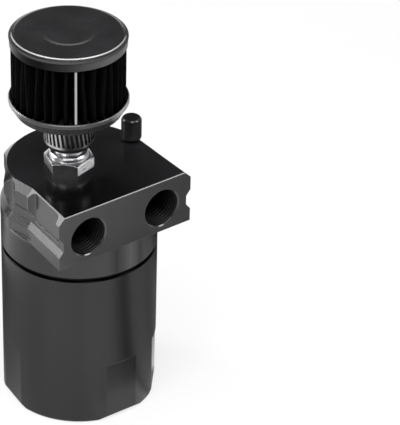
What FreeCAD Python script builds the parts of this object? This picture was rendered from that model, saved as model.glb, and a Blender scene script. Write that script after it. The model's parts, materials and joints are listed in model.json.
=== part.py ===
import FreeCAD, Part
import math
import os
from FreeCAD import Vector

# Oil catch can: a turned cup screwed under a milled head, with a clamped-on breather filter
# and a dipstick. Millimetres, +Z up, origin at the centre of the cup's flat base.

# Cup
CUP_RADIUS = 32.5
CUP_HEIGHT = 71.8
CUP_WALL = 2.5
CUP_FLOOR = 3.5
CUP_BASE_CHAMFER = 0.8
CUP_RIM_BEVEL = 0.4
CUP_INNER_FILLET = 2.0
SEAL_SEAT_CHAMFER = 1.7
FLAT_AZIMUTHS = (-91.5, -41.5, 12.0, 65.5, 119.0, 172.5)
FLAT_DEPTH = 0.85
FLAT_HEIGHT = 28.0
FLAT_FOOT_BEVEL = 1.6

# Cup thread and seal
JOINT_GAP = 1.2
THREAD_CLEARANCE = 0.3
THREAD_LENGTH = 9.0
SEAL_SECTION = 1.6
SEAL_CLEARANCE = 0.1

# Head
COLLAR_HEIGHT = 13.0
BLOCK_OVERHANG = 0.1
BLOCK_HEIGHT = 24.0
BLOCK_CHAMFER = 3.0
FRONT_EDGE_CHAMFER = 0.35
COLLAR_BEVEL = 0.5
WAIST_INSET = 2.0
WAIST_Y = -7.0
WAIST_END_Y = 4.0
GROOVE_BELOW_TOP = 13.6
GROOVE_OPENING = 9.2
GROOVE_FLOOR = 4.0
GROOVE_DEPTH = 2.1
POCKET_DEPTH = 2.5
POCKET_BEHIND_FACE = 2.8
POCKET_REAR = 7.6
POCKET_CORNER = 3.0
SCALLOP_ANGLES = (84.0, 56.0)
SCALLOP_HALF_ANGLES = (7.0, 19.0)
SCALLOP_DEPTHS = (2.3, 2.7)
PLENUM_WALL = 6.2
PLENUM_HEIGHT = 16.2

# Ports in the front face
PORT_FROM_SIDE = 14.4
PORT_BELOW_TOP = 13.0
PORT_RADIUS = 8.19
PORT_DEPTH = 15.0
PORT_CHAMFER = 0.5
PASSAGE_RADIUS = 3.6
PASSAGE_Y = -3.1

# Breather fitting
FILTER_X = -5.05
FILTER_Y = 0.0
HEX_ACROSS_FLATS = 18.0
HEX_HEIGHT = 5.2
HEX_TURN = 15.0
HEX_CHAMFER_ANGLE = 30.0
HEX_CROWN_INSET = 0.4
FITTING_THREAD_RADIUS = 6.9
FITTING_THREAD_LENGTH = 10.0
FITTING_THREAD_CLEARANCE = 0.1
FITTING_BORE = 4.4
FITTING_COLLAR_RADIUS = 8.2
FITTING_COLLAR_HEIGHT = 2.0
FITTING_COLLAR_BEVEL = 0.6
STUB_RADIUS = 6.0
STUB_HEIGHT = 20.0
BARB_RISE = 0.6
BARB_PITCH = 4.0
BARB_LAND = 0.5
BARB_COUNT = 3
BARBS_ABOVE_NECK_BOTTOM = 2.0
FITTING_SEAL_RADIUS = 8.6
FITTING_SEAL_THICKNESS = 1.0

# Filter
NECK_BOTTOM_ABOVE_HEX = 5.3
NECK_RADIUS = 9.7
NECK_EDGE_BEVEL = 0.4
NECK_BORE_CLEARANCE = 0.05
DISH_ABOVE_NECK_BOTTOM = 15.9
DISH_RIM_RADIUS = 24.4
DISH_RIM_ROLL = 1.7
DISH_RIM_BEVEL = 0.4
DISH_FLOOR_INSET = 2.5
DISH_FLOOR_BEVEL = 0.4
DISH_HEIGHT = 6.2
DISH_SHEET = 0.5
NECK_FLANGE_INSET = 1.3
NECK_FLANGE_THICKNESS = 3.8
ELEMENT_INSET = 1.15
ELEMENT_HEIGHT = 29.2
PLEAT_COUNT = 34
PLEAT_DEPTH = 8.6
PLEAT_SHEET = 0.45
PLEAT_TIP = 0.75
PLEAT_GAP = 0.15
CORE_BEHIND_PLEATS = 2.25
CORE_SHEET = 0.7
CORE_WINDOWS = 8
CORE_ROWS = 3
CORE_WINDOW_SHARE = 0.6
SEAM_WIDTH = 0.9
SEAM_THICKNESS = 0.4
SEAM_AZIMUTH = -118.0
SEAM_END_GAP = 0.2
CAP_SHEET = 0.3
CAP_CLEARANCE = 0.05
CAP_ROLL = 0.25
CAP_RIM_LAND = 0.3
CAP_RIM_BELOW_TOP = 1.2
CAP_SKIRT_BELOW_RIM = 3.6
CAP_SHOULDER = 2.35
CAP_EDGE_ROUND = 0.4
CAP_ABOVE_ELEMENT = 1.6
CAP_DOME_RISE = 0.1
CAP_EMBOSS_RADIUS = 9.2
CAP_EMBOSS_SLOPE = 2.0
CAP_EMBOSS_DROP = 0.4

# Hose clamp
BAND_ABOVE_NECK_BOTTOM = 1.9
BAND_WIDTH = 8.3
BAND_THICKNESS = 0.55
BAND_CLEARANCE = 0.02
BAND_SLOTS = 33
SLOT_LENGTH = 6.1
SLOT_WIDTH = 1.15
SLOT_SLANT = 8.0
HOUSING_AZIMUTH = 52.0
HOUSING_LENGTH = 9.0
HOUSING_WIDTH = 9.4
HOUSING_DEPTH = 7.3
HOUSING_CORNER = 2.4
HOUSING_OVER_BAND = 0.6
WORM_RADIUS = 2.7
WORM_ABOVE_BAND = 0.6
WORM_CLEARANCE = 0.08
WORM_END_GAP = 0.4
WORM_HEAD_FLATS = 6.4
WORM_HEAD_LENGTH = 3.0
WORM_HEAD_GAP = 0.3
WORM_SLOT = 0.9

# Dipstick
DIPSTICK_FROM_PLENUM = 3.8
DIPSTICK_Y = 1.4
KNOB_RADIUS = 4.05
KNOB_HEIGHT = 10.4
KNOB_CHAMFER = 0.5
KNOB_LIFT = 0.3
KNOB_STUD_RADIUS = 2.9
KNOB_STUD_LENGTH = 7.0
KNOB_STUD_CLEARANCE = 0.08
ROD_RADIUS = 1.25
ROD_CLEARANCE = 0.3
ROD_ABOVE_FLOOR = 6.0
ROD_NOTCH_DEPTH = 0.3
ROD_NOTCH_WIDTH = 0.6
ROD_NOTCHES = (12.0, 24.0)
DIPSTICK_SEAL_SECTION = 0.7
DIPSTICK_SEAL_CLEARANCE = 0.08
DIPSTICK_SEAL_DEPTH = 2.6

# Baffle pack inside the head and cup
TUBE_RADIUS = 4.2
TUBE_WALL = 0.8
TUBE_SEAT = 5.0
TUBE_BELOW_BAFFLE = 11.0
TUBE_SLANT = 40.0
TUBE_HOLE_CLEARANCE = 0.2
PLATE_CLEARANCE = 1.1
BAFFLE_THICKNESS = 1.5
BAFFLE_HOLE_RADIUS = 2.2
BAFFLE_RING_RADII = (8.0, 16.5)
BAFFLE_RING_COUNTS = (6, 10)
SPACER_HEIGHT = 16.0
SPACER_RADIUS = 2.6
SPLASH_THICKNESS = 1.5
SPLASH_NOTCHES = 3
SPLASH_NOTCH_RADIUS = 8.0
SCREWS_FROM_PLENUM = 2.9
SCREW_AZIMUTHS = (60.0, 180.0, 300.0)
SCREW_RADIUS = 1.5
SCREW_CLEARANCE = 0.15
SCREW_GRIP = 7.0
SCREW_HEAD_RADIUS = 2.8
SCREW_HEAD_HEIGHT = 2.0
SCREW_SOCKET = 2.5
WASHER_RADIUS = 3.2
WASHER_THICKNESS = 0.5
PACK_HEIGHT = 9.0
PACK_CLEARANCE = 0.2
SCREEN_THICKNESS = 1.0
SCREEN_RIM = 3.0
SCREEN_SLOTS = 10
SCREEN_SLOT_WIDTH = 2.0

# Widths worked out from the sizes above
CUP_BORE = CUP_RADIUS - CUP_WALL
SPIGOT_RADIUS = CUP_BORE - THREAD_CLEARANCE
PLENUM_RADIUS = SPIGOT_RADIUS - PLENUM_WALL
PLATE_RADIUS = CUP_BORE - PLATE_CLEARANCE
SCREW_CIRCLE_RADIUS = PLENUM_RADIUS + SCREWS_FROM_PLENUM
DIPSTICK_X = PLENUM_RADIUS + DIPSTICK_FROM_PLENUM
BLOCK_HALF = CUP_RADIUS + BLOCK_OVERHANG
PORT_X = BLOCK_HALF - PORT_FROM_SIDE
POCKET_FRONT = BLOCK_HALF - POCKET_BEHIND_FACE
DISH_FLOOR_RADIUS = DISH_RIM_RADIUS - DISH_FLOOR_INSET
NECK_FLANGE_RADIUS = DISH_FLOOR_RADIUS - NECK_FLANGE_INSET
ELEMENT_RADIUS = DISH_RIM_RADIUS - ELEMENT_INSET
CORE_RADIUS = ELEMENT_RADIUS - PLEAT_DEPTH - CORE_BEHIND_PLEATS
CAP_SKIRT_RADIUS = ELEMENT_RADIUS + CAP_CLEARANCE + CAP_SHEET
CAP_RIM_RADIUS = CAP_SKIRT_RADIUS + CAP_ROLL
CAP_EDGE_RADIUS = CAP_RIM_RADIUS - CAP_SHOULDER

# Heights worked out from the sizes above
SHOULDER_Z = CUP_HEIGHT + JOINT_GAP
BLOCK_BOTTOM_Z = SHOULDER_Z + COLLAR_HEIGHT
TOP_Z = BLOCK_BOTTOM_Z + BLOCK_HEIGHT
SPIGOT_BOTTOM_Z = SHOULDER_Z - THREAD_LENGTH
PORT_Z = TOP_Z - PORT_BELOW_TOP
GROOVE_Z = TOP_Z - GROOVE_BELOW_TOP
PLENUM_TOP_Z = SPIGOT_BOTTOM_Z + PLENUM_HEIGHT
HEX_TOP_Z = TOP_Z + HEX_HEIGHT
NECK_BOTTOM_Z = HEX_TOP_Z + NECK_BOTTOM_ABOVE_HEX
DISH_Z = NECK_BOTTOM_Z + DISH_ABOVE_NECK_BOTTOM
ELEMENT_Z = DISH_Z + DISH_SHEET + NECK_FLANGE_THICKNESS
ELEMENT_TOP_Z = ELEMENT_Z + ELEMENT_HEIGHT
CAP_EDGE_TOP_Z = ELEMENT_TOP_Z + CAP_ABOVE_ELEMENT
CAP_RIM_Z = CAP_EDGE_TOP_Z - CAP_RIM_BELOW_TOP
CAP_SKIRT_Z = CAP_RIM_Z - CAP_SKIRT_BELOW_RIM
BAND_Z = NECK_BOTTOM_Z + BAND_ABOVE_NECK_BOTTOM
BAND_INNER = NECK_RADIUS + BAND_CLEARANCE
BAND_OUTER = BAND_INNER + BAND_THICKNESS
BAFFLE_Z = SPIGOT_BOTTOM_Z - BAFFLE_THICKNESS
SPLASH_Z = BAFFLE_Z - SPACER_HEIGHT - SPLASH_THICKNESS
TUBE_BOTTOM_Z = BAFFLE_Z - TUBE_BELOW_BAFFLE
FILTER_AXIS = Vector(FILTER_X, FILTER_Y, 0)
DIPSTICK_AXIS = Vector(DIPSTICK_X, DIPSTICK_Y, 0)
UP = Vector(0, 0, 1)


def polar(radius, azimuth, z=0.0):
    angle = math.radians(azimuth)
    return Vector(radius * math.cos(angle), radius * math.sin(angle), z)


def turned(points, axis=Vector(0, 0, 0)):
    """Solid of revolution about a vertical axis, from (radius, height) points."""
    corners = [Vector(r, 0, z) for r, z in points]
    face = Part.Face(Part.makePolygon(corners + corners[:1]))
    solid = face.revolve(Vector(0, 0, 0), UP, 360)
    solid.translate(axis)
    return solid


def rod(radius, low, high, axis=Vector(0, 0, 0)):
    return Part.makeCylinder(radius, high - low, Vector(axis.x, axis.y, low))


def ring(centre_radius, section, z, axis=Vector(0, 0, 0)):
    """Seal ring of eight-sided section, its corners on the round section's circle."""
    corners = []
    for k in range(8):
        angle = math.radians(45 * k + 22.5)
        corners.append((centre_radius + section / 2 * math.cos(angle), z + section / 2 * math.sin(angle)))
    return turned(corners, axis)


def prism(points, low, high):
    corners = [Vector(x, y, low) for x, y in points]
    face = Part.Face(Part.makePolygon(corners + corners[:1]))
    return face.extrude(Vector(0, 0, high - low))


def hexagon(across_flats, low, high, axis, turn):
    radius = across_flats / math.sqrt(3)
    corners = [polar(radius, turn + 60 * k) + axis for k in range(6)]
    return prism([(p.x, p.y) for p in corners], low, high)


def cup():
    seat = SEAL_SEAT_CHAMFER
    body = turned([
        (0, 0),
        (CUP_RADIUS - CUP_BASE_CHAMFER, 0),
        (CUP_RADIUS, CUP_BASE_CHAMFER),
        (CUP_RADIUS, CUP_HEIGHT - CUP_RIM_BEVEL),
        (CUP_RADIUS - CUP_RIM_BEVEL, CUP_HEIGHT),
        (CUP_BORE + seat, CUP_HEIGHT),
        (CUP_BORE, CUP_HEIGHT - seat),
        (CUP_BORE, CUP_FLOOR + CUP_INNER_FILLET),
        (CUP_BORE - CUP_INNER_FILLET, CUP_FLOOR),
        (0, CUP_FLOOR),
    ])
    return body.cut(Part.makeCompound(grip_flats()))


def grip_flats():
    """Wrench flats milled into the lower wall, each with a bevel at its foot."""
    face_at = CUP_RADIUS - FLAT_DEPTH
    outside = CUP_RADIUS + 1
    profile = [
        Vector(face_at, -CUP_RADIUS, FLAT_HEIGHT),
        Vector(face_at, -CUP_RADIUS, FLAT_FOOT_BEVEL),
        Vector(face_at - FLAT_FOOT_BEVEL - 1, -CUP_RADIUS, -1),
        Vector(outside, -CUP_RADIUS, -1),
        Vector(outside, -CUP_RADIUS, FLAT_HEIGHT),
    ]
    face = Part.Face(Part.makePolygon(profile + profile[:1]))
    cutters = []
    for azimuth in FLAT_AZIMUTHS:
        cutter = face.extrude(Vector(0, 2 * CUP_RADIUS, 0))
        cutter.rotate(Vector(0, 0, 0), UP, azimuth)
        cutters.append(cutter)
    return cutters


def cup_seal():
    centre = SPIGOT_RADIUS + SEAL_CLEARANCE + SEAL_SECTION / 2
    return ring(centre, SEAL_SECTION, SHOULDER_Z - SEAL_SECTION / 2 - SEAL_CLEARANCE)


def waist_end_x():
    """Where the left side runs out into the round rear."""
    return math.sqrt(BLOCK_HALF ** 2 - WAIST_END_Y ** 2)


def block_outline(low, high):
    """The head's plan: a flat front, a straight right side, a waisted left side, a round rear."""
    h = BLOCK_HALF
    right = Vector(h, 0, low)
    front_left = Vector(-h, -h, low)
    front_right = Vector(h, -h, low)
    waist = Vector(WAIST_INSET - h, WAIST_Y, low)
    rear_left = Vector(-waist_end_x(), WAIST_END_Y, low)
    edges = [
        Part.makeLine(front_left, front_right),
        Part.makeLine(front_right, right),
        Part.Arc(right, Vector(0, h, low), rear_left).toShape(),
        Part.makeLine(rear_left, waist),
        Part.makeLine(waist, front_left),
    ]
    return Part.Face(Part.Wire(edges)).extrude(Vector(0, 0, high - low))


def chamfer_section(wall, y):
    """Triangle that takes the top edge off a side wall at x = wall, in an X-Z plane."""
    side = math.copysign(1, wall)
    outside = 1.0
    return Part.makePolygon([
        Vector(wall + side * outside, y, TOP_Z - BLOCK_CHAMFER - outside),
        Vector(wall - side * (BLOCK_CHAMFER + outside), y, TOP_Z + outside),
        Vector(wall + side * outside, y, TOP_Z + outside),
        Vector(wall + side * outside, y, TOP_Z - BLOCK_CHAMFER - outside),
    ])


def chamfered_block():
    block = block_outline(BLOCK_BOTTOM_Z, TOP_Z)
    for cutter in cutters_round_sides(chamfer_section):
        block = block.cut(cutter)
    size = FRONT_EDGE_CHAMFER
    wedge = Part.Face(Part.makePolygon([
        Vector(-BLOCK_HALF - 1, -BLOCK_HALF - 1, TOP_Z + 1),
        Vector(-BLOCK_HALF - 1, -BLOCK_HALF - 1, TOP_Z - size - 1),
        Vector(-BLOCK_HALF - 1, -BLOCK_HALF + size + 1, TOP_Z + 1),
        Vector(-BLOCK_HALF - 1, -BLOCK_HALF - 1, TOP_Z + 1),
    ])).extrude(Vector(2 * BLOCK_HALF + 2, 0, 0))
    return block.cut(wedge)


def groove_section(wall, y):
    """Trapezoid across the side groove, in an X-Z plane; it runs a little past a wall at x = wall."""
    side = math.copysign(1, wall)
    flare = (GROOVE_OPENING - GROOVE_FLOOR) / 2 / GROOVE_DEPTH
    outside = 1.0
    half_open = GROOVE_OPENING / 2 + flare * outside
    corners = [
        Vector(wall + side * outside, y, GROOVE_Z - half_open),
        Vector(wall - side * GROOVE_DEPTH, y, GROOVE_Z - GROOVE_FLOOR / 2),
        Vector(wall - side * GROOVE_DEPTH, y, GROOVE_Z + GROOVE_FLOOR / 2),
        Vector(wall + side * outside, y, GROOVE_Z + half_open),
    ]
    return Part.makePolygon(corners + corners[:1])


def waist_slope():
    """Inset of the left side for each millimetre back from the front."""
    return WAIST_INSET / (BLOCK_HALF + WAIST_Y)


def cutters_round_sides(section):
    """Runs a section along the right side, round the rear and along the waisted left side."""
    start = -BLOCK_HALF - 1
    rear_turn = 180 - math.degrees(math.asin(WAIST_END_Y / BLOCK_HALF))
    rear = Part.Face(section(BLOCK_HALF, 0)).revolve(Vector(0, 0, 0), UP, rear_turn)
    right = Part.Face(section(BLOCK_HALF, 0)).extrude(Vector(0, start, 0))
    left = Part.makeLoft([
        section(-BLOCK_HALF - waist_slope(), start),
        section(WAIST_INSET - BLOCK_HALF, WAIST_Y),
        section(-waist_end_x(), WAIST_END_Y),
    ], True, True)
    return [rear, right, left]


def side_pocket():
    """Shallow pocket milled down the right side wall, with round corners in plan."""
    floor_x = BLOCK_HALF - POCKET_DEPTH
    low = GROOVE_Z
    height = TOP_Z - low + 1
    length = POCKET_FRONT - POCKET_REAR
    cutter = Part.makeBox(POCKET_DEPTH + 3, length, height, Vector(floor_x, -POCKET_FRONT, low))
    inner = [e for e in cutter.Edges
             if abs(e.Length - height) < 0.01 and e.BoundBox.XMax < floor_x + 0.01]
    return cutter.makeFillet(POCKET_CORNER, inner)


def left_pocket():
    """The same pocket on the left, laid along that side's slope."""
    cutter = side_pocket().mirror(Vector(0, 0, 0), Vector(1, 0, 0))
    corner = Vector(-BLOCK_HALF, -BLOCK_HALF, 0)
    cutter.rotate(corner, UP, -math.degrees(math.atan(waist_slope())))
    return cutter


def scallop(from_rear, half_angle, depth):
    """Upright round cutter that bites into the rear wall above the groove."""
    floor = BLOCK_HALF - depth
    spread = 2 * BLOCK_HALF * math.cos(math.radians(half_angle))
    cutter_radius = (BLOCK_HALF ** 2 + floor ** 2 - spread * floor) / (spread - 2 * floor)
    centre = polar(floor + cutter_radius, 90 + from_rear, GROOVE_Z)
    return Part.makeCylinder(cutter_radius, TOP_Z - GROOVE_Z + 1, centre)


def port_bore(side):
    x = side * PORT_X
    face = Vector(x, -BLOCK_HALF - 1, PORT_Z)
    inward = Vector(0, 1, 0)
    bore = Part.makeCylinder(PORT_RADIUS, PORT_DEPTH + 1, face, inward)
    mouth = Part.makeCone(PORT_RADIUS + PORT_CHAMFER + 1, PORT_RADIUS, PORT_CHAMFER + 1, face, inward)
    drill = Part.makeCylinder(PASSAGE_RADIUS, PASSAGE_Y - face.y, face, inward)
    down = rod(PASSAGE_RADIUS, PLENUM_TOP_Z - 1, PORT_Z, Vector(x, PASSAGE_Y, 0))
    return bore.fuse([mouth, drill, down])


def head():
    collar = turned([
        (0, SHOULDER_Z),
        (CUP_RADIUS - COLLAR_BEVEL, SHOULDER_Z),
        (CUP_RADIUS, SHOULDER_Z + COLLAR_BEVEL),
        (CUP_RADIUS, BLOCK_BOTTOM_Z + 1),
        (0, BLOCK_BOTTOM_Z + 1),
    ])
    spigot = turned([
        (0, SPIGOT_BOTTOM_Z),
        (SPIGOT_RADIUS - COLLAR_BEVEL, SPIGOT_BOTTOM_Z),
        (SPIGOT_RADIUS, SPIGOT_BOTTOM_Z + COLLAR_BEVEL),
        (SPIGOT_RADIUS, SHOULDER_Z + 1),
        (0, SHOULDER_Z + 1),
    ])
    block = chamfered_block()
    for cutter in cutters_round_sides(groove_section) + [side_pocket(), left_pocket()]:
        block = block.cut(cutter)
    for from_rear, half_angle, depth in zip(SCALLOP_ANGLES, SCALLOP_HALF_ANGLES, SCALLOP_DEPTHS):
        block = block.cut([scallop(from_rear, half_angle, depth), scallop(-from_rear, half_angle, depth)])
    body = block.fuse([collar, spigot])
    fitting_hole = FITTING_THREAD_RADIUS + FITTING_THREAD_CLEARANCE
    holes = [
        port_bore(-1),
        port_bore(1),
        rod(PLENUM_RADIUS, SPIGOT_BOTTOM_Z - 1, PLENUM_TOP_Z),
        rod(fitting_hole, TOP_Z - FITTING_THREAD_LENGTH - 1, TOP_Z + 1, FILTER_AXIS),
        rod(FITTING_BORE, PLENUM_TOP_Z - 1, TOP_Z, FILTER_AXIS),
        rod(KNOB_STUD_RADIUS + KNOB_STUD_CLEARANCE, TOP_Z - KNOB_STUD_LENGTH - 1, TOP_Z + 1, DIPSTICK_AXIS),
        rod(ROD_RADIUS + ROD_CLEARANCE, SPIGOT_BOTTOM_Z - 1, TOP_Z, DIPSTICK_AXIS),
        rod(TUBE_RADIUS, PLENUM_TOP_Z - 1, PLENUM_TOP_Z + TUBE_SEAT, tube_axis()),
    ]
    for place in screw_places():
        holes.append(rod(SCREW_RADIUS, SPIGOT_BOTTOM_Z - 1, SPIGOT_BOTTOM_Z + SCREW_GRIP + 1, place))
    for hole in holes:
        body = body.cut(hole)
    return body.removeSplitter()


def tube_axis():
    return Vector(-PORT_X, PASSAGE_Y, 0)


def inlet_tube():
    """Drop tube seated in the head, its lower end cut at a slant."""
    top = PLENUM_TOP_Z + TUBE_SEAT
    axis = tube_axis()
    bore = rod(TUBE_RADIUS - TUBE_WALL, TUBE_BOTTOM_Z - 1, top + 1, axis)
    tube = rod(TUBE_RADIUS, TUBE_BOTTOM_Z, top, axis).cut(bore)
    slant = Part.makeBox(4 * TUBE_RADIUS, 4 * TUBE_RADIUS, 4 * TUBE_RADIUS)
    slant.translate(Vector(-2 * TUBE_RADIUS, -2 * TUBE_RADIUS, -4 * TUBE_RADIUS))
    slant.rotate(Vector(0, 0, 0), Vector(0, 1, 0), TUBE_SLANT)
    slant.translate(Vector(axis.x, axis.y, TUBE_BOTTOM_Z + TUBE_RADIUS))
    return tube.cut(slant)


def screw_places():
    return [polar(SCREW_CIRCLE_RADIUS, azimuth) for azimuth in SCREW_AZIMUTHS]


def baffle_plate():
    """Perforated plate under the head, with an open notch at its rim for the dipstick."""
    plate = rod(PLATE_RADIUS, BAFFLE_Z, SPIGOT_BOTTOM_Z)
    half = ROD_RADIUS + ROD_CLEARANCE
    notch = Part.makeBox(2 * half, 2 * half, BAFFLE_THICKNESS + 2)
    notch.translate(Vector(DIPSTICK_X, DIPSTICK_Y - half, BAFFLE_Z - 1))
    holes = [rod(TUBE_RADIUS + TUBE_HOLE_CLEARANCE, BAFFLE_Z - 1, SPIGOT_BOTTOM_Z + 1, tube_axis()),
             rod(half, BAFFLE_Z - 1, SPIGOT_BOTTOM_Z + 1, DIPSTICK_AXIS).fuse(notch)]
    for place in screw_places():
        holes.append(rod(SCREW_RADIUS + SCREW_CLEARANCE, BAFFLE_Z - 1, SPIGOT_BOTTOM_Z + 1, place))
    clear = TUBE_RADIUS + BAFFLE_HOLE_RADIUS + 1
    for ring_radius, count in zip(BAFFLE_RING_RADII, BAFFLE_RING_COUNTS):
        for k in range(count):
            place = polar(ring_radius, 360 * k / count)
            if (place - tube_axis()).Length > clear:
                holes.append(rod(BAFFLE_HOLE_RADIUS, BAFFLE_Z - 1, SPIGOT_BOTTOM_Z + 1, place))
    return plate.cut(Part.makeCompound(holes))


def splash_plate():
    """Lower plate; drops run down through its rim notches, and one of them clears the dipstick."""
    top = SPLASH_Z + SPLASH_THICKNESS
    plate = rod(PLATE_RADIUS, SPLASH_Z, top)
    holes = []
    for place in screw_places():
        holes.append(rod(SCREW_RADIUS + SCREW_CLEARANCE, SPLASH_Z - 1, top + 1, place))
    for k in range(SPLASH_NOTCHES):
        azimuth = SCREW_AZIMUTHS[0] + 360 * (k + 0.5) / SPLASH_NOTCHES
        holes.append(rod(SPLASH_NOTCH_RADIUS, SPLASH_Z - 1, top + 1, polar(PLATE_RADIUS, azimuth)))
    return plate.cut(Part.makeCompound(holes))


def baffle_spacers():
    sleeves = []
    for place in screw_places():
        sleeve = rod(SPACER_RADIUS, BAFFLE_Z - SPACER_HEIGHT, BAFFLE_Z, place)
        sleeves.append(sleeve.cut(rod(SCREW_RADIUS + SCREW_CLEARANCE, SPLASH_Z, BAFFLE_Z + 1, place)))
    return Part.makeCompound(sleeves)


def screw_washers():
    washers = []
    for place in screw_places():
        washer = rod(WASHER_RADIUS, SPLASH_Z - WASHER_THICKNESS, SPLASH_Z, place)
        washers.append(washer.cut(rod(SCREW_RADIUS + SCREW_CLEARANCE, SPLASH_Z - 2, SPLASH_Z + 1, place)))
    return Part.makeCompound(washers)


def baffle_screws():
    """Cap-head screws that hold the baffle pack up under the head."""
    seat = SPLASH_Z - WASHER_THICKNESS
    screws = []
    for place in screw_places():
        shank = rod(SCREW_RADIUS, seat, SPIGOT_BOTTOM_Z + SCREW_GRIP, place)
        cap = rod(SCREW_HEAD_RADIUS, seat - SCREW_HEAD_HEIGHT, seat, place)
        socket = hexagon(SCREW_SOCKET, seat - SCREW_HEAD_HEIGHT - 1, seat - SCREW_HEAD_HEIGHT / 2, place, 0)
        screws.append(shank.fuse(cap).cut(socket))
    return Part.makeCompound(screws)


def gauze_pack():
    """Knitted wire pad that fills the lower plenum."""
    radius = PLENUM_RADIUS - PACK_CLEARANCE
    pad = rod(radius, SPIGOT_BOTTOM_Z, SPIGOT_BOTTOM_Z + PACK_HEIGHT)
    return pad.cut(rod(TUBE_RADIUS + TUBE_HOLE_CLEARANCE, SPIGOT_BOTTOM_Z - 1, PLENUM_TOP_Z, tube_axis()))


def gauze_screen():
    """Slotted disc that keeps the wire pad down."""
    low = SPIGOT_BOTTOM_Z + PACK_HEIGHT
    high = low + SCREEN_THICKNESS
    disc = rod(PLENUM_RADIUS - PACK_CLEARANCE, low, high)
    disc = disc.cut(rod(TUBE_RADIUS + TUBE_HOLE_CLEARANCE, low - 1, high + 1, tube_axis()))
    slotted = PLENUM_RADIUS - SCREEN_RIM
    pitch = 2 * slotted / SCREEN_SLOTS
    for k in range(SCREEN_SLOTS):
        y = -slotted + pitch * (k + 0.5)
        right = math.sqrt(slotted ** 2 - y ** 2)
        left = -right
        if abs(y - PASSAGE_Y) < TUBE_RADIUS + SCREEN_SLOT_WIDTH:
            left = -PORT_X + TUBE_RADIUS + SCREEN_SLOT_WIDTH
        corner = Vector(left, y - SCREEN_SLOT_WIDTH / 2, low - 1)
        disc = disc.cut(Part.makeBox(right - left, SCREEN_SLOT_WIDTH, SCREEN_THICKNESS + 2, corner))
    return disc


def breather_fitting():
    """Hexagon adapter: a thread below, a barbed stub above."""
    axis = FILTER_AXIS
    nut = hexagon(HEX_ACROSS_FLATS, TOP_Z, HEX_TOP_Z, axis, HEX_TURN)
    slope = math.tan(math.radians(HEX_CHAMFER_ANGLE))
    inner = HEX_ACROSS_FLATS / 2 - HEX_CROWN_INSET
    reach = HEX_ACROSS_FLATS
    crown = turned([
        (0, TOP_Z - 1),
        (reach, TOP_Z - 1),
        (reach, HEX_TOP_Z - (reach - inner) * slope),
        (inner, HEX_TOP_Z),
        (0, HEX_TOP_Z),
    ], axis)
    nut = nut.common(crown)
    collar_top = HEX_TOP_Z + FITTING_COLLAR_HEIGHT
    root = STUB_RADIUS - BARB_RISE
    profile = [
        (0, HEX_TOP_Z - 1),
        (FITTING_COLLAR_RADIUS, HEX_TOP_Z - 1),
        (FITTING_COLLAR_RADIUS, collar_top - FITTING_COLLAR_BEVEL),
        (FITTING_COLLAR_RADIUS - FITTING_COLLAR_BEVEL, collar_top),
        (STUB_RADIUS, collar_top),
    ]
    for k in range(BARB_COUNT):
        low = NECK_BOTTOM_Z + BARBS_ABOVE_NECK_BOTTOM + BARB_PITCH * k
        profile += [(root, low), (STUB_RADIUS, low), (root, low + BARB_PITCH - BARB_LAND)]
    top = HEX_TOP_Z + STUB_HEIGHT
    profile += [(root, top), (0, top)]
    stub = turned(profile, axis)
    shank_low = TOP_Z - FITTING_THREAD_LENGTH
    shank = rod(FITTING_THREAD_RADIUS, shank_low, TOP_Z + 1, axis)
    body = nut.fuse([stub, shank])
    body = body.cut(rod(FITTING_BORE, shank_low - 1, top + 1, axis))
    return body.cut(fitting_seal_room())


def washer_under_hexagon(radius):
    washer = rod(radius, TOP_Z, TOP_Z + FITTING_SEAL_THICKNESS, FILTER_AXIS)
    return washer.cut(rod(FITTING_THREAD_RADIUS, TOP_Z - 1, HEX_TOP_Z, FILTER_AXIS))


def fitting_seal_room():
    """Undercut below the hexagon in which its sealing washer lies."""
    return washer_under_hexagon(FITTING_SEAL_RADIUS + FITTING_THREAD_CLEARANCE)


def fitting_seal():
    return washer_under_hexagon(FITTING_SEAL_RADIUS)


def filter_neck():
    """Rubber socket with the flange that the pleats stand on."""
    bore = STUB_RADIUS + NECK_BORE_CLEARANCE
    floor = DISH_Z + DISH_SHEET
    return turned([
        (bore, NECK_BOTTOM_Z),
        (NECK_RADIUS - NECK_EDGE_BEVEL, NECK_BOTTOM_Z),
        (NECK_RADIUS, NECK_BOTTOM_Z + NECK_EDGE_BEVEL),
        (NECK_RADIUS, floor),
        (NECK_FLANGE_RADIUS, floor),
        (NECK_FLANGE_RADIUS, ELEMENT_Z),
        (bore, ELEMENT_Z),
    ], FILTER_AXIS)


def filter_dish():
    """Pressed sheet dish that holds the pleats' lower end."""
    rim = DISH_Z + DISH_HEIGHT
    inside = DISH_Z + DISH_SHEET
    hole = NECK_RADIUS + NECK_BORE_CLEARANCE
    bevel = DISH_FLOOR_BEVEL
    edge = DISH_RIM_BEVEL
    return turned([
        (hole, DISH_Z),
        (DISH_FLOOR_RADIUS - 2 * bevel, DISH_Z),
        (DISH_FLOOR_RADIUS, DISH_Z + bevel),
        (DISH_RIM_RADIUS - edge, rim - DISH_RIM_ROLL - DISH_SHEET),
        (DISH_RIM_RADIUS, rim - DISH_RIM_ROLL),
        (DISH_RIM_RADIUS, rim - edge),
        (DISH_RIM_RADIUS - edge, rim),
        (DISH_RIM_RADIUS - DISH_SHEET, rim),
        (DISH_RIM_RADIUS - DISH_SHEET - edge, rim - DISH_RIM_ROLL),
        (DISH_FLOOR_RADIUS - DISH_SHEET, inside + bevel),
        (DISH_FLOOR_RADIUS - DISH_SHEET - bevel, inside),
        (hole, inside),
    ], FILTER_AXIS)


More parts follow.
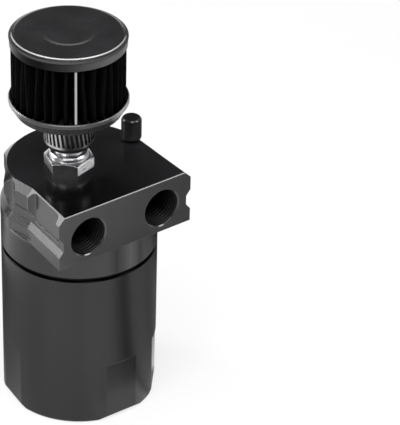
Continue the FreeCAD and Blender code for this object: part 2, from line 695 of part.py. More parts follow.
def pleated_outline(outer, tip, inner, fold):
    """One closed zigzag: each fold has a flat of half-width tip outside and fold inside."""
    points = []
    pitch = 360.0 / PLEAT_COUNT
    tip_angle = math.degrees(tip / outer)
    fold_angle = math.degrees(fold / inner)
    for k in range(PLEAT_COUNT):
        crest = SEAM_AZIMUTH + pitch * k
        valley = crest + pitch / 2
        for azimuth, radius in ((crest - tip_angle, outer), (crest + tip_angle, outer),
                                (valley - fold_angle, inner), (valley + fold_angle, inner)):
            at = polar(radius, azimuth) + FILTER_AXIS
            points.append((at.x, at.y))
    return points


def filter_element():
    """Sheet folded into upright pleats, all round."""
    sheet = PLEAT_SHEET
    valley = ELEMENT_RADIUS - PLEAT_DEPTH
    outer = pleated_outline(ELEMENT_RADIUS, PLEAT_TIP, valley, PLEAT_GAP)
    inner = pleated_outline(ELEMENT_RADIUS - sheet, PLEAT_TIP - sheet, valley - sheet, PLEAT_GAP + sheet)
    solid = prism(outer, ELEMENT_Z, ELEMENT_TOP_Z)
    return solid.cut(prism(inner, ELEMENT_Z - 1, ELEMENT_TOP_Z + 1))


def filter_core():
    """Punched tube inside the pleats."""
    tube = rod(CORE_RADIUS, ELEMENT_Z, ELEMENT_TOP_Z, FILTER_AXIS)
    tube = tube.cut(rod(CORE_RADIUS - CORE_SHEET, ELEMENT_Z - 1, ELEMENT_TOP_Z + 1, FILTER_AXIS))
    row_pitch = ELEMENT_HEIGHT / CORE_ROWS
    window_height = row_pitch * CORE_WINDOW_SHARE
    window_width = 2 * math.pi * CORE_RADIUS / CORE_WINDOWS * CORE_WINDOW_SHARE
    windows = []
    for row in range(CORE_ROWS):
        low = ELEMENT_Z + row_pitch * (row + 0.5) - window_height / 2
        for k in range(CORE_WINDOWS // 2):
            window = Part.makeBox(2 * CORE_RADIUS + 2, window_width, window_height,
                                  Vector(-CORE_RADIUS - 1, -window_width / 2, low))
            window.rotate(Vector(0, 0, 0), UP, 360 * k / CORE_WINDOWS)
            window.translate(FILTER_AXIS)
            windows.append(window)
    for window in windows:
        tube = tube.cut(window)
    return tube


def element_seam():
    """Folded metal strip that joins the ends of the pleated sheet."""
    low = DISH_Z + DISH_HEIGHT + SEAM_END_GAP
    high = CAP_SKIRT_Z - SEAM_END_GAP
    corner = Vector(ELEMENT_RADIUS, -SEAM_WIDTH / 2, low)
    strip = Part.makeBox(SEAM_THICKNESS, SEAM_WIDTH, high - low, corner)
    strip.rotate(Vector(0, 0, 0), UP, SEAM_AZIMUTH)
    strip.translate(FILTER_AXIS)
    return strip


def filter_cap():
    """Pressed cap: a straight skirt, a rolled rim, a sloping shoulder and a round sunk centre."""
    inside = CAP_SKIRT_RADIUS - CAP_SHEET
    crown = CAP_EDGE_TOP_Z + CAP_DOME_RISE
    return turned([
        (inside, CAP_SKIRT_Z),
        (CAP_SKIRT_RADIUS, CAP_SKIRT_Z),
        (CAP_SKIRT_RADIUS, CAP_RIM_Z - CAP_RIM_LAND - CAP_ROLL),
        (CAP_RIM_RADIUS, CAP_RIM_Z - CAP_RIM_LAND),
        (CAP_RIM_RADIUS, CAP_RIM_Z),
        (CAP_RIM_RADIUS - CAP_ROLL, CAP_RIM_Z + CAP_ROLL),
        (CAP_EDGE_RADIUS + CAP_EDGE_ROUND, CAP_EDGE_TOP_Z - CAP_EDGE_ROUND / 2),
        (CAP_EDGE_RADIUS, CAP_EDGE_TOP_Z),
        (CAP_EMBOSS_RADIUS + CAP_EMBOSS_SLOPE, crown),
        (CAP_EMBOSS_RADIUS, crown - CAP_EMBOSS_DROP),
        (0, crown - CAP_EMBOSS_DROP),
        (0, ELEMENT_TOP_Z),
        (inside, ELEMENT_TOP_Z),
    ], FILTER_AXIS)


def clamp_band():
    """Slotted steel band round the neck."""
    high = BAND_Z + BAND_WIDTH
    band = rod(BAND_OUTER, BAND_Z, high).cut(rod(BAND_INNER, BAND_Z - 1, high + 1))
    corner = Vector(BAND_INNER - 1, -SLOT_WIDTH / 2, -SLOT_LENGTH / 2)
    slots = []
    for k in range(BAND_SLOTS):
        slot = Part.makeBox(BAND_THICKNESS + 2, SLOT_WIDTH, SLOT_LENGTH, corner)
        slot.rotate(Vector(0, 0, 0), Vector(1, 0, 0), SLOT_SLANT)
        slot.translate(Vector(0, 0, BAND_Z + BAND_WIDTH / 2))
        slot.rotate(Vector(0, 0, 0), UP, HOUSING_AZIMUTH + 360 * (k + 0.5) / BAND_SLOTS)
        slots.append(slot)
    band = band.cut(Part.makeCompound(slots))
    band.translate(FILTER_AXIS)
    return band


def housing_frame(shape):
    """Moves a shape drawn about the X axis to the clamp housing's place."""
    shape.rotate(Vector(0, 0, 0), UP, HOUSING_AZIMUTH)
    shape.translate(FILTER_AXIS)
    return shape


def worm_centre():
    return Vector(BAND_OUTER + WORM_ABOVE_BAND + WORM_RADIUS, 0, BAND_Z + BAND_WIDTH / 2)


def clamp_housing():
    """Pressed housing that carries the worm screw against the band."""
    centre = worm_centre()
    start = BAND_OUTER - HOUSING_OVER_BAND
    far = start + HOUSING_DEPTH
    low = centre.z - HOUSING_WIDTH / 2
    corner = Vector(start, -HOUSING_LENGTH / 2, low)
    block = Part.makeBox(HOUSING_DEPTH, HOUSING_LENGTH, HOUSING_WIDTH, corner)
    outer_edges = [e for e in block.Edges
                   if abs(e.Length - HOUSING_LENGTH) < 0.01 and e.BoundBox.XMin > far - 0.01]
    block = block.makeFillet(HOUSING_CORNER, outer_edges)
    seat = rod(BAND_OUTER, low - 1, low + HOUSING_WIDTH + 1)
    bore = Part.makeCylinder(WORM_RADIUS + WORM_CLEARANCE, HOUSING_LENGTH + 2,
                             Vector(centre.x, -HOUSING_LENGTH / 2 - 1, centre.z), Vector(0, 1, 0))
    return housing_frame(block.cut([seat, bore]))


def clamp_screw():
    """Worm screw with a slotted hexagon head outside the housing."""
    centre = worm_centre()
    half = HOUSING_LENGTH / 2
    shank_end = half - WORM_END_GAP
    head_start = -half - WORM_HEAD_GAP
    base = Vector(centre.x, head_start, centre.z)
    shank = Part.makeCylinder(WORM_RADIUS, shank_end - head_start, base, Vector(0, 1, 0))
    head_radius = WORM_HEAD_FLATS / math.sqrt(3)
    corners = []
    for k in range(6):
        angle = math.radians(60 * k + 30)
        corners.append(base + Vector(head_radius * math.cos(angle), 0, head_radius * math.sin(angle)))
    bolt_head = Part.Face(Part.makePolygon(corners + corners[:1])).extrude(Vector(0, -WORM_HEAD_LENGTH, 0))
    slot_y = head_start - WORM_HEAD_LENGTH
    slot = Part.makeBox(3 * head_radius, WORM_HEAD_LENGTH / 2 + 1, WORM_SLOT,
                        Vector(centre.x - 1.5 * head_radius, slot_y - 1, centre.z - WORM_SLOT / 2))
    return housing_frame(shank.fuse(bolt_head).cut(slot))


def dipstick_knob():
    low = TOP_Z + KNOB_LIFT
    high = TOP_Z + KNOB_HEIGHT
    knob = turned([
        (0, low), (KNOB_RADIUS - KNOB_CHAMFER, low), (KNOB_RADIUS, low + KNOB_CHAMFER),
        (KNOB_RADIUS, high - KNOB_CHAMFER), (KNOB_RADIUS - KNOB_CHAMFER, high), (0, high),
    ], DIPSTICK_AXIS)
    stud = rod(KNOB_STUD_RADIUS, TOP_Z - KNOB_STUD_LENGTH, low + 1, DIPSTICK_AXIS)
    socket = rod(ROD_RADIUS, TOP_Z - KNOB_STUD_LENGTH - 1, TOP_Z, DIPSTICK_AXIS)
    groove = dipstick_seal_room()
    return knob.fuse(stud).cut(socket).cut(groove)


def dipstick_seal_room():
    """Groove round the stud, just under the knob, that holds the seal."""
    floor = KNOB_STUD_RADIUS - DIPSTICK_SEAL_SECTION - DIPSTICK_SEAL_CLEARANCE
    middle = TOP_Z - DIPSTICK_SEAL_DEPTH
    half = DIPSTICK_SEAL_SECTION / 2 + DIPSTICK_SEAL_CLEARANCE
    outer = rod(KNOB_STUD_RADIUS + 1, middle - half, middle + half, DIPSTICK_AXIS)
    return outer.cut(rod(floor, middle - half - 1, middle + half + 1, DIPSTICK_AXIS))


def dipstick_seal():
    centre = KNOB_STUD_RADIUS - DIPSTICK_SEAL_SECTION / 2
    return ring(centre, DIPSTICK_SEAL_SECTION, TOP_Z - DIPSTICK_SEAL_DEPTH, DIPSTICK_AXIS)


def dipstick_rod():
    """Gauge rod with two level marks cut round it."""
    low = CUP_FLOOR + ROD_ABOVE_FLOOR
    stick = rod(ROD_RADIUS, low, TOP_Z, DIPSTICK_AXIS)
    for height in ROD_NOTCHES:
        z = low + height
        mark = rod(ROD_RADIUS + 1, z, z + ROD_NOTCH_WIDTH, DIPSTICK_AXIS)
        stick = stick.cut(mark.cut(rod(ROD_RADIUS - ROD_NOTCH_DEPTH, z - 1, z + 2, DIPSTICK_AXIS)))
    return stick


PIECES = {
    "collection_cup": cup,
    "cup_seal": cup_seal,
    "head_block": head,
    "inlet_tube": inlet_tube,
    "gauze_screen": gauze_screen,
    "gauze_pack": gauze_pack,
    "baffle_plate": baffle_plate,
    "baffle_spacers": baffle_spacers,
    "splash_plate": splash_plate,
    "screw_washers": screw_washers,
    "baffle_screws": baffle_screws,
    "breather_fitting": breather_fitting,
    "fitting_seal": fitting_seal,
    "filter_neck": filter_neck,
    "filter_dish": filter_dish,
    "filter_core": filter_core,
    "filter_element": filter_element,
    "element_seam": element_seam,
    "filter_cap": filter_cap,
    "clamp_band": clamp_band,
    "clamp_housing": clamp_housing,
    "clamp_screw": clamp_screw,
    "dipstick_knob": dipstick_knob,
    "dipstick_seal": dipstick_seal,
    "dipstick_rod": dipstick_rod,
}

os.makedirs("parts", exist_ok=True)
for name, build in PIECES.items():
    shape = build()
    shape.exportStep("parts/" + name + ".step")
    print(name, "solids", len(shape.Solids), "valid", shape.isValid(), "volume", round(shape.Volume, 1))
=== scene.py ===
import json
import math
import random

import bmesh
import bpy
from bpy.props import FloatProperty, FloatVectorProperty, IntProperty, PointerProperty
from mathutils import Matrix, Vector


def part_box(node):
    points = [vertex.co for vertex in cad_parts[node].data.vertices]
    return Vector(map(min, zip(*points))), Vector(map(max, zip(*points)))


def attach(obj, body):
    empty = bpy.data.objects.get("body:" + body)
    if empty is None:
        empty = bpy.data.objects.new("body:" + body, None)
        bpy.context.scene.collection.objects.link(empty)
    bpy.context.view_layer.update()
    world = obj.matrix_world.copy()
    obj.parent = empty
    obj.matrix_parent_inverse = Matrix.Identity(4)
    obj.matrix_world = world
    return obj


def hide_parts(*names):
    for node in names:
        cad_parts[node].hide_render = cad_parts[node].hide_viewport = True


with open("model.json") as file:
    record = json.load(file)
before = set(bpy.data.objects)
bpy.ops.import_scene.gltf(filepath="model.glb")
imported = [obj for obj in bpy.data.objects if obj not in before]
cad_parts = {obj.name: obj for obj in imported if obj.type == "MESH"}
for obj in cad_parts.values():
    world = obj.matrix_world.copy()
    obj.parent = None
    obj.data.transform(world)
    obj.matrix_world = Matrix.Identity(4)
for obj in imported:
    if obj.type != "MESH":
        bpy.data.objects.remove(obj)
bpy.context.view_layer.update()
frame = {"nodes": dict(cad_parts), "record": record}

bl_info = {
    "name": "Oil catch can",
    "version": (1, 0, 0),
    "blender": (4, 5, 0),
    "location": "View3D > Sidebar > Catch can",
    "description": "Finishes and fine pieces for the oil catch can, with its studio",
    "category": "Object",
}

MM = 0.001
NODES = frame["nodes"]
PORTS = [mount for mount in frame["record"]["mounts"] if mount["kind"] == "threaded_hole"]

WHITE = (1.0, 1.0, 1.0)
BLACK = (0.0, 0.0, 0.0)

# Level directions, as seen in the photograph: straight away from the viewer, and to the right
AWAY = (0.617, 0.787)
ASIDE = (0.787, -0.617)

# Threads, in metres
THREAD_PITCH = 0.0015
RIDGE_HALF_WIDTH = 0.36  # At the ridge's foot, as a share of the pitch
SPIGOT_RADIUS = 0.0297
CUP_THREAD_RADIUS = 0.0306  # Takes in the wall of the cup's bore
CUP_THREAD_START = 0.0635  # Height where the thread in the bore starts
HAIR = 0.00001  # Keeps a ridge's foot out of the plane of the wall under it

# One fold of the pleats: share of a pitch from the crest, and share of the fold's depth
FOLD_SHAPE = (
    (-0.2, 0.12), (-0.09, 0.015), (0.0, 0.0), (0.09, 0.015), (0.2, 0.12), (0.42, 1.0), (0.58, 1.0),
)
FOLD_ROWS = 8
FOLD_SWAY = 0.4  # How far a crest bends on its way up, as a share of its wander

# Rows and columns of the knurl's mesh in one diamond
KNURL_STEPS = 4

# A cloudy pattern stays mostly between these two values
NOISE_LOW = 0.3
NOISE_HIGH = 0.7

# Rays that look for an edge round each spot
EDGE_SAMPLES = 6

# Floor and backdrop, in metres; the backdrop stands round the right and the back
FLOOR_HALF_WIDTH = 4.0
FLOOR_WHITENESS = 0.75  # Share of pure white that the camera sees in the floor
BACKDROP_RADIUS = 1.5
BACKDROP_HEIGHT = 0.45
BACKDROP_START = math.radians(-60)
BACKDROP_SWEEP = math.radians(170)
BACKDROP_STEPS = 17
ROOM_GREY = (0.07, 0.07, 0.072)

# Lamps: name, place, the point it shines at, width in metres and power in watts
LAMPS = (
    ("overhead", (-0.25, -0.3, 1.3), (0, 0, 0.1), 1.0, 17.0),
    ("rear_left", (-0.62, 0.75, 0.62), (0, 0, 0.1), 0.42, 5.5),
    ("front_right", (0.75, -0.8, 1.0), (0, 0, 0.08), 0.5, 6.0),
    ("left", (-1.1, -0.35, 0.55), (0, 0, 0.08), 0.5, 4.0),
)

# Camera matched to the photograph: lens and sensor in millimetres, place in metres
CAMERA_LENS = 226.16
CAMERA_SENSOR = 36.0
CAMERA_NEAR = 0.05
CAMERA_FAR = 20.0
CAMERA_PLACE = (-0.5317174, -0.7591998, 0.6877432)
CAMERA_RIGHT = (0.79606218, -0.60476374, 0.02336268)
CAMERA_UP = (0.31419055, 0.44595179, 0.83809981)
CAMERA_BACK = (-0.51727101, -0.65983923, 0.54501641)


def node_box(name):
    """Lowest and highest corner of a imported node."""
    low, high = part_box(name)
    return Vector(low), Vector(high)


def node_middle(name):
    """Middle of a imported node's box."""
    low, high = node_box(name)
    return (low + high) / 2


def shade(colour, share):
    """The colour made darker or lighter, but no lighter than white."""
    return [min(part * share, 1.0) for part in colour]


# Shader expressions

class Signal:
    """A shader socket that can stand in a Python expression."""

    def __init__(self, builder, socket):
        self.builder = builder
        self.socket = socket

    def math(self, operation, *values):
        """Adds one Math node."""
        return self.builder.node("ShaderNodeMath", {"operation": operation}, values)

    def __add__(self, other):
        return self.math("ADD", self, other)

    def __radd__(self, other):
        return self.math("ADD", other, self)

    def __sub__(self, other):
        return self.math("SUBTRACT", self, other)

    def __rsub__(self, other):
        return self.math("SUBTRACT", other, self)

    def __mul__(self, other):
        return self.math("MULTIPLY", self, other)

    def __rmul__(self, other):
        return self.math("MULTIPLY", other, self)

    def __pow__(self, other):
        return self.math("POWER", self, other)

    def below(self, other):
        """1 where this is less than the other, 0 elsewhere."""
        return self.math("LESS_THAN", self, other)

    def above(self, other):
        """1 where this is more than the other, 0 elsewhere."""
        return self.math("GREATER_THAN", self, other)

    def most(self, other):
        """The larger of the two."""
        return self.math("MAXIMUM", self, other)

    def size(self):
        """This without its sign."""
        return self.math("ABSOLUTE", self)

    def between(self, low, high, start=0.0, end=1.0):
        """Goes evenly from start to end while this goes from low to high, and stays there."""
        inputs = {"Value": self, "From Min": low, "From Max": high, "To Min": start, "To Max": end}
        return self.builder.node("ShaderNodeMapRange", {"clamp": True}, inputs)

    def spread(self, start=0.0, end=1.0):
        """Draws a cloudy pattern out, so that it goes all the way from start to end."""
        return self.between(NOISE_LOW, NOISE_HIGH, start, end)


class NodeBuilder:
    """Adds nodes to one node tree."""

    def __init__(self, tree):
        self.tree = tree

    def connect(self, socket, value):
        """Links a signal to a socket, or sets the socket's own value."""
        if isinstance(value, Signal):
            self.tree.links.new(value.socket, socket)
        elif socket.type == "RGBA":
            socket.default_value = (*value, 1.0)
        else:
            socket.default_value = value

    def node(self, kind, settings=None, inputs=None, output=0):
        """Adds a node, sets its settings and then its inputs, and gives one of its outputs."""
        made = self.tree.nodes.new(kind)
        for name, value in (settings or {}).items():
            setattr(made, name, value)
        values = inputs or {}
        pairs = values.items() if isinstance(values, dict) else enumerate(values)
        for key, value in pairs:
            self.connect(made.inputs[key], value)
        return Signal(self, made.outputs[output])

    def blend(self, amount, first, second):
        """Shader that goes from first to second as amount goes from 0 to 1."""
        return self.node("ShaderNodeMixShader", inputs=[amount, first, second])

    def ray(self, question):
        """1 for the rays that the question is true of, 0 for the others."""
        return self.node("ShaderNodeLightPath", output=question)


class Finish(NodeBuilder):
    """One procedural material, built node by node."""

    def __init__(self, name, **constants):
        self.material = bpy.data.materials.new(name)
        self.material.use_nodes = True
        super().__init__(self.material.node_tree)
        self.shader = self.tree.nodes["Principled BSDF"]
        for label, value in constants.items():
            self.feed(label, value)

    def feed(self, label, value):
        """Sets one input of the surface."""
        self.connect(self.shader.inputs[label], value)

    def surface(self, shader):
        """Puts a shader on the material's output, in place of the plain surface."""
        self.connect(self.tree.nodes["Material Output"].inputs["Surface"], shader)

    def glow(self, colour):
        """Shader that shines evenly in one colour."""
        return self.node("ShaderNodeEmission", inputs={"Color": colour, "Strength": 1.0})

    def vector(self, operation, *values, output="Vector"):
        """Adds one Vector Math node."""
        return self.node("ShaderNodeVectorMath", {"operation": operation}, values, output)

    def place(self, stretch=(1, 1, 1), move=(0, 0, 0)):
        """Object coordinates, moved and then stretched."""
        spot = self.node("ShaderNodeTexCoord", output="Object")
        return self.vector("MULTIPLY", self.vector("ADD", spot, move), stretch)

    def along(self, axis):
        """Object coordinate along one axis."""
        return self.node("ShaderNodeSeparateXYZ", inputs=[self.place()], output=axis)

    def over(self, direction, centre=(0, 0)):
        """Distance over the floor from centre, measured along a level direction."""
        x, y = self.along("X") - centre[0], self.along("Y") - centre[1]
        return x * direction[0] + y * direction[1]

    def radius(self, centre=(0, 0)):
        """Distance from an upright axis through centre."""
        flat = self.place(stretch=(1, 1, 0), move=(-centre[0], -centre[1], 0))
        return self.vector("LENGTH", flat, output="Value")

    def noise(self, scale, detail, stretch=(1, 1, 1)):
        """Cloudy pattern."""
        inputs = {"Vector": self.place(stretch=stretch), "Scale": scale, "Detail": detail}
        return self.node("ShaderNodeTexNoise", inputs=inputs)

    def facing(self, direction):
        """1 where the surface faces along a direction, 0 across it and -1 against it."""
        normal = self.node("ShaderNodeNewGeometry", output="Normal")
        return self.vector("DOT_PRODUCT", normal, direction, output="Value")

    def level(self):
        """1 on a level face, 0 on an upright one."""
        normal = self.node("ShaderNodeNewGeometry", output="Normal")
        return self.node("ShaderNodeSeparateXYZ", inputs=[normal], output="Z").size()

    def rounded(self, radius):
        """The way the surface would face if its edges were rounded."""
        return self.node("ShaderNodeBevel", {"samples": EDGE_SAMPLES}, {"Radius": radius})

    def edge_wear_and_highlight(self, radius, strength):
        """1 on a sharp outer or inner edge, 0 away from it. Made paler, it stands for rubbed wear
        and a painted highlight.
        """
        return ((1 - self.facing(self.rounded(radius))) * strength).between(0.0, 1.0)

    def mix(self, amount, first, second):
        """Colour that goes from first to second as amount goes from 0 to 1."""
        # A Mix node has sockets for every kind of value: the colours are inputs 6 and 7, output 2
        inputs = {"Factor": amount, 6: first, 7: second}
        return self.node("ShaderNodeMix", {"data_type": "RGBA"}, inputs, output=2)

    def relief(self, height, edge_radius=0.0):
        """Height in metres as a bump over the surface, with its edges softened."""
        inputs = {"Height": height, "Strength": 1.0, "Distance": 1.0}
        if edge_radius:
            inputs["Normal"] = self.rounded(edge_radius)
        self.feed("Normal", self.node("ShaderNodeBump", inputs=inputs))


# Mesh helpers

def make_object(bm, name, material):
    """Turns a bmesh into an object in the scene."""
    mesh = bpy.data.meshes.new(name)
    bm.to_mesh(mesh)
    bm.free()
    mesh.materials.append(material)
    made = bpy.data.objects.new(name, mesh)
    bpy.context.scene.collection.objects.link(made)
    return made


def keep(bm, name, finish, body, sharp_angle):
    """Turns a bmesh into a finished piece that rides on a body, with edges sharp past an angle."""
    piece = make_object(bm, name, finish)
    piece.data.shade_smooth()
    piece.data.set_sharp_from_angle(angle=math.radians(sharp_angle))
    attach(piece, body)
    return piece


def raise_row(bm, edges, rise):
    """Pulls a ring of edges straight up, and gives the new vertices and edges."""
    grown = bmesh.ops.extrude_edge_only(bm, edges=edges)["geom"]
    fresh = [part for part in grown if isinstance(part, bmesh.types.BMVert)]
    bmesh.ops.translate(bm, vec=Vector((0, 0, rise)), verts=fresh)
    return fresh, [part for part in grown if isinstance(part, bmesh.types.BMEdge)]


def thread(bm, start, axis, foot, crest, pitch, turns, steps):
    """Triangular ridge wound round an axis, from a foot to a crest radius, with closed ends."""
    side = axis.orthogonal().normalized()
    half = axis * pitch * RIDGE_HALF_WIDTH
    corners = (start + side * foot - half, start + side * crest, start + side * foot + half)
    profile = bm.faces.new([bm.verts.new(corner) for corner in corners])
    bmesh.ops.spin(bm, geom=[profile], cent=start, axis=axis, dvec=axis * (pitch / steps),
                   angle=math.tau * turns, steps=int(steps * turns))
    bmesh.ops.recalc_face_normals(bm, faces=bm.faces)


# Settings that a user would change

class CatchCanLooks(bpy.types.PropertyGroup):
    """Colours of the finishes."""
    anodised: FloatVectorProperty(
        name="Anodised", description="Black of the cup and the head",
        subtype="COLOR", size=3, default=(0.010, 0.010, 0.011))
    pressed: FloatVectorProperty(
        name="Pressed cap", description="Gunmetal of the filter's cap and dish",
        subtype="COLOR", size=3, default=(0.017, 0.017, 0.018))
    rubber: FloatVectorProperty(
        name="Rubber", description="Neck of the filter and the seals",
        subtype="COLOR", size=3, default=(0.010, 0.010, 0.0105))
    cloth: FloatVectorProperty(
        name="Pleats", description="Cloth of the pleats",
        subtype="COLOR", size=3, default=(0.0022, 0.0022, 0.0024))
    bright: FloatVectorProperty(
        name="Bright metal", description="Steel and polished metal",
        subtype="COLOR", size=3, default=(0.72, 0.72, 0.73))
    floor: FloatVectorProperty(
        name="Floor", description="Pale floor round the can",
        subtype="COLOR", size=3, default=(0.93, 0.93, 0.93))


class CatchCanSizes(bpy.types.PropertyGroup):
    """Sizes of the fine pieces."""
    thread_pitch: FloatProperty(
        name="Thread pitch", description="Pitch of the port and cup threads",
        default=THREAD_PITCH, unit="LENGTH")
    thread_height: FloatProperty(
        name="Thread height", description="Height of a port thread's ridge",
        default=0.0004, unit="LENGTH")
    spigot_thread_height: FloatProperty(
        name="Cup thread height", description="Height of the ridge on the head's spigot",
        default=0.00022, unit="LENGTH")
    fold_count: IntProperty(
        name="Folds", description="Folds round the element", default=34)
    fold_depth: FloatProperty(
        name="Fold depth", description="From crest to valley",
        default=0.0086, unit="LENGTH")
    fold_wander: FloatProperty(
        name="Fold wander", description="How far a crest strays from its even place",
        default=0.00045, unit="LENGTH")
    cloth_thickness: FloatProperty(
        name="Cloth thickness", description="Thickness of the pleated cloth",
        default=0.0004, unit="LENGTH")
    knurl_teeth: IntProperty(
        name="Knurl teeth", description="Diamonds round the knob", default=26)
    knurl_height: FloatProperty(
        name="Knurl height", description="Height of a diamond",
        default=0.0003, unit="LENGTH")


# Finishes. A black skin mirrors its surroundings. Where the photograph shows it darker than these
# would make it, Metallic takes the clear mirroring away and leaves the dark base colour, as
# painted shade.

def anodised_turned(looks):
    """Black anodised turned wall, with fine tool rings and soft upright streaks."""
    f = Finish("anodised_turned", IOR=1.5)
    rim = node_box("collection_cup")[1].z
    height = f.along("Z")
    rings = f.noise(1.0, 2.0, stretch=(20, 20, 5200))
    streaks = f.noise(1.0, 3.0, stretch=(90, 90, 3))
    specks = f.noise(900.0, 4.0)
    tone = f.mix(streaks.spread(), shade(looks.anodised, 0.75), shade(looks.anodised, 1.5))
    # Edges made pale: partly rubbed wear, partly a painted highlight
    rubbed_and_lit_edge = f.edge_wear_and_highlight(0.0004, 4.0) * height.below(rim - 0.001)
    tone = f.mix(rubbed_and_lit_edge * 0.5, tone, (0.16, 0.16, 0.165))
    # Painted shadow: a dark line at the joint, with Metallic taking its mirroring away
    joint_painted_shadow = height.above(rim - 0.0005)
    f.feed("Base Color", f.mix(joint_painted_shadow, tone, shade(looks.anodised, 0.2)))
    f.feed("Metallic", joint_painted_shadow)
    f.feed("Roughness", streaks.between(0.25, 0.75, 0.15, 0.22) + specks * 0.05)
    # The thread in the bore is a zigzag over the height
    bore = f.radius().below(CUP_THREAD_RADIUS) * height.above(CUP_THREAD_START)
    zigzag = f.node("ShaderNodeMath", {"operation": "PINGPONG"}, [height, THREAD_PITCH / 2])
    f.relief(rings * 0.000004 + specks * 0.000002 + bore * zigzag * 0.5, 0.0003)
    return f.material


def inside_ports(f):
    """1 inside the two threaded ports, which mirror each other, and 0 elsewhere."""
    mouth = PORTS[0]["pos_m"]
    radius = PORTS[0]["dims"]["r_mm"] * MM
    aside = f.along("X").size() - abs(mouth[0])
    above = f.along("Z") - mouth[2]
    from_axis = (aside * aside + above * above) ** 0.5
    return from_axis.below(radius + 0.0001) * f.along("Y").above(mouth[1] + 0.0002)


def anodised_milled(looks):
    """Black anodised milled block, smooth on top, with fine cutter lines on its walls."""
    f = Finish("anodised_milled", IOR=1.75)
    low, high = node_box("head_block")
    x, y, height = f.along("X"), f.along("Y"), f.along("Z")
    aside = f.over(ASIDE)
    level = f.level()
    upright = 1 - level
    lines = f.noise(1.0, 2.0, stretch=(30, 30, 3800))
    specks = f.noise(700.0, 4.0)
    cloud = f.noise(45.0, 3.0)
    port = inside_ports(f)
    # Edges made pale, partly rubbed wear and partly a painted highlight, but not in the joint
    worn_and_lit_edge = f.edge_wear_and_highlight(0.0004, 5.0) * height.above(node_box("cup_seal")[1].z + 0.001)
    tone = f.mix(cloud.spread(), shade(looks.anodised, 0.8), shade(looks.anodised, 1.4))
    tone = f.mix(worn_and_lit_edge * 0.7, tone, (0.22, 0.22, 0.225))
    # Two painted highlights, pale and streaked, on the right of the collar
    collar = height.below(high.z - 0.0241) * upright
    collar_painted_sheen = aside.between(0.017, 0.021) * aside.between(0.0225, 0.0255, 1.0, 0.0) * collar
    collar_end_painted_sheen = aside.between(0.0262, 0.028, 0.0, 0.35) * collar
    streaks = f.noise(1.0, 3.0, stretch=(260, 260, 3)).between(0.3, 0.6, 0.4, 1.0)
    tone = f.mix((collar_painted_sheen * 0.55 + collar_end_painted_sheen) * streaks, tone, (0.18, 0.18, 0.182))
    # Painted light and shade: the front face paler to the left, and the ports painted darkest of
    # all
    front = y.below(low.y + 0.0003) * upright
    tone = f.mix(front * x.between(-0.032, 0.01, 1.0, 0.0), tone, (0.04, 0.04, 0.0405))
    f.feed("Base Color", f.mix(port, tone, shade(looks.anodised, 0.25)))
    # Painted shade: the bevel along the top's left, the front's right end, the collar, most at its
    # left, and the front of the top, most at its left
    bevel = f.facing((-0.707, 0, 0.707)).between(0.9, 0.97, 0.0, 0.6)
    bevel = bevel * height.above(high.z - 0.0045)
    walls = front * x.between(0.0, 0.03, 0.0, 0.25) + collar * aside.between(-0.02, 0.0, 0.4, 0.2)
    corner = y.between(-0.018, -0.004, 0.8, 0.0) * x.between(0.0, 0.026, 1.0, 0.15)
    painted_shade = bevel + walls + level.above(0.9) * corner
    f.feed("Metallic", painted_shade * (1 - worn_and_lit_edge))
    f.feed("Roughness", cloud.spread(0.13, 0.18) + upright * 0.05 + specks * 0.04 + port * 0.05)
    f.relief(lines * upright * 0.000002 + specks * 0.0000005, 0.0003)
    return f.material


def thread_black(looks):
    """Black anodised thread, left dull by the tap, and painted darker than the block as shade in
    the ports.
    """
    f = Finish("thread_black", IOR=1.25)
    cloud = f.noise(900.0, 3.0)
    # Painted shade: darker than the anodised block
    f.feed("Base Color", f.mix(cloud, shade(looks.anodised, 0.2), shade(looks.anodised, 0.6)))
    f.feed("Roughness", cloud.spread(0.38, 0.5))
    f.relief(cloud * 0.000006)
    return f.material


def pressed_sheet(looks):
    """Gunmetal paint over pressed sheet."""
    f = Finish("pressed_sheet", IOR=1.6)
    low, high = node_box("filter_cap")
    middle = node_middle("filter_cap")
    height = f.along("Z")
    radius = f.radius(middle)
    aside = f.over(ASIDE, middle)
    depth = f.over(AWAY, middle)
    peel = f.noise(650.0, 3.0)
    cloud = f.noise(60.0, 3.0)
    dish = height.below(node_box("filter_dish")[1].z + 0.001)
    tone = f.mix(cloud.spread(), shade(looks.pressed, 0.85), shade(looks.pressed, 1.25))
    # Edges of the dish made pale: a painted highlight
    tone = f.mix(f.edge_wear_and_highlight(0.0003, 4.0) * dish * 0.4, tone, (0.3, 0.3, 0.3))
    # Painted shade on the skirt of the cap, and a painted highlight at its right end
    skirt = height.above(low.z - 0.0002) * height.below(high.z - 0.0015)
    painted_shade = skirt * aside.between(-0.01, 0.016, 1.0, 0.0)
    tone = f.mix(skirt * aside.between(0.0, 0.016), tone, (0.09, 0.09, 0.091))
    tone = f.mix(painted_shade, tone, shade(looks.pressed, 0.5))
    # Painted highlights on the dish, pale at the two ends of its front half
    ends = aside.size().between(0.0175, 0.0215) * depth.between(-0.006, 0.002, 1.0, 0.0)
    tone = f.mix(dish * (ends * 0.95 + 0.05), tone, (0.34, 0.34, 0.342))
    # Painted highlight on the lip of the cap: a thin ring a little off centre, bright round its
    # front
    ring = radius - (depth + 0.0217) * 0.05
    lip_painted_highlight = ring.between(0.02135, 0.02155) * ring.between(0.0219, 0.0221, 1.0, 0.0)
    lip_painted_highlight = lip_painted_highlight * height.above(high.z - 0.0013)
    front = depth.between(-0.008, 0.0, 1.0, 0.0) * aside.size().between(0.0, 0.014, 0.6, 1.0)
    f.feed("Base Color", f.mix(lip_painted_highlight * front, tone, (0.85, 0.85, 0.85)))
    f.feed("Metallic", lip_painted_highlight * front + painted_shade)
    roll = radius.above(0.0232) * height.above(high.z - 0.0019)
    f.feed("Roughness", cloud.spread(0.2, 0.3) + peel * 0.05 + lip_painted_highlight * 0.25 + roll * 0.4)
    f.relief(peel * 0.000006, 0.0003)
    return f.material


